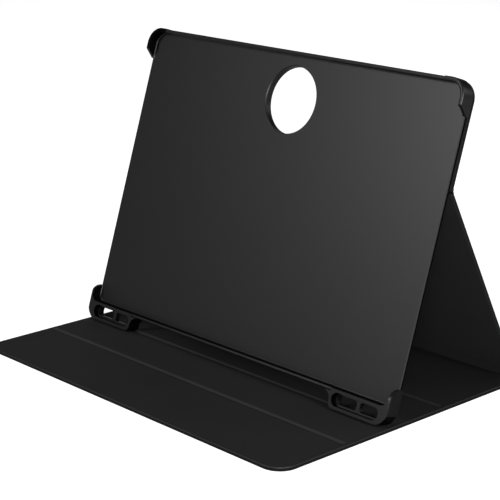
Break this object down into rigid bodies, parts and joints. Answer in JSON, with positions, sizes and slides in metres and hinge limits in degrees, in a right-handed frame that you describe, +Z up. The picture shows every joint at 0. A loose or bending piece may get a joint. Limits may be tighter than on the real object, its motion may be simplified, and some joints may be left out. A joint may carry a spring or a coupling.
{
  "type": "tablet stand case",
  "caption": "Folio case for a tablet: a moulded tray with soft corners, on a folding cover whose lower back half is the leg of a stand.",
  "frame": {"origin": "centre of the front cover's outline, on its underside, which lies on the table", "axes": "+X along the case's width, +Y from the front edge of the cover towards the stand's leg, +Z up"},
  "size_m": [0.272, 0.205, 0.1947],
  "materials": {
    "cover_skin": "fine-grained synthetic leather, black",
    "lining": "smooth short-pile lining, black",
    "board": "pressed fibre board",
    "magnet": "nickel-plated magnet",
    "adhesive": "adhesive film",
    "tray_plastic": "satin moulded plastic, black",
    "soft_rim": "satin soft plastic, black"
  },
  "bodies": {
    "front_cover": {"front_skin": "cover_skin", "front_lining": "lining", "front_board_1": "board", "front_board_2": "board", "front_board_3": "board", "front_board_4": "board", "closing_magnets": "magnet"},
    "spine": {"spine_skin": "cover_skin", "spine_lining": "lining", "spine_board": "board"},
    "leg": {"leg_skin": "cover_skin", "leg_lining": "lining", "leg_board": "board"},
    "tray": {"back_skin": "cover_skin", "back_lining": "lining", "back_board": "board", "back_adhesive": "adhesive", "tray_plate": "tray_plastic", "top_rail": "soft_rim", "bottom_rail": "soft_rim", "bumper_top_left": "soft_rim", "bumper_top_right": "soft_rim", "corner_foot_left": "soft_rim", "corner_foot_right": "soft_rim", "slot_frame_left": "soft_rim", "slot_frame_right": "soft_rim"}
  },
  "joints": [
    {"name": "cover_hinge", "type": "hinge", "parent": "front_cover", "child": "spine", "pos_m": [0, 0.1026, 0], "axis": [-1, 0, 0], "range_deg": [0, 118.12]},
    {"name": "spine_hinge", "type": "hinge", "parent": "spine", "child": "leg", "pos_m": [0, 0.09751, 0.00953], "axis": [-1, 0, 0], "range_deg": [-80, 0]},
    {"name": "stand_fold", "type": "hinge", "parent": "leg", "child": "tray", "pos_m": [0, 0.0321, 0.13195], "axis": [-1, 0, 0], "range_deg": [-45.66, 0]}
  ],
  "couplings": [
    {"joint": "spine_hinge", "follows": "cover_hinge", "ratio": -0.67728},
    {"joint": "stand_fold", "follows": "cover_hinge", "ratio": -0.38656}
  ]
}
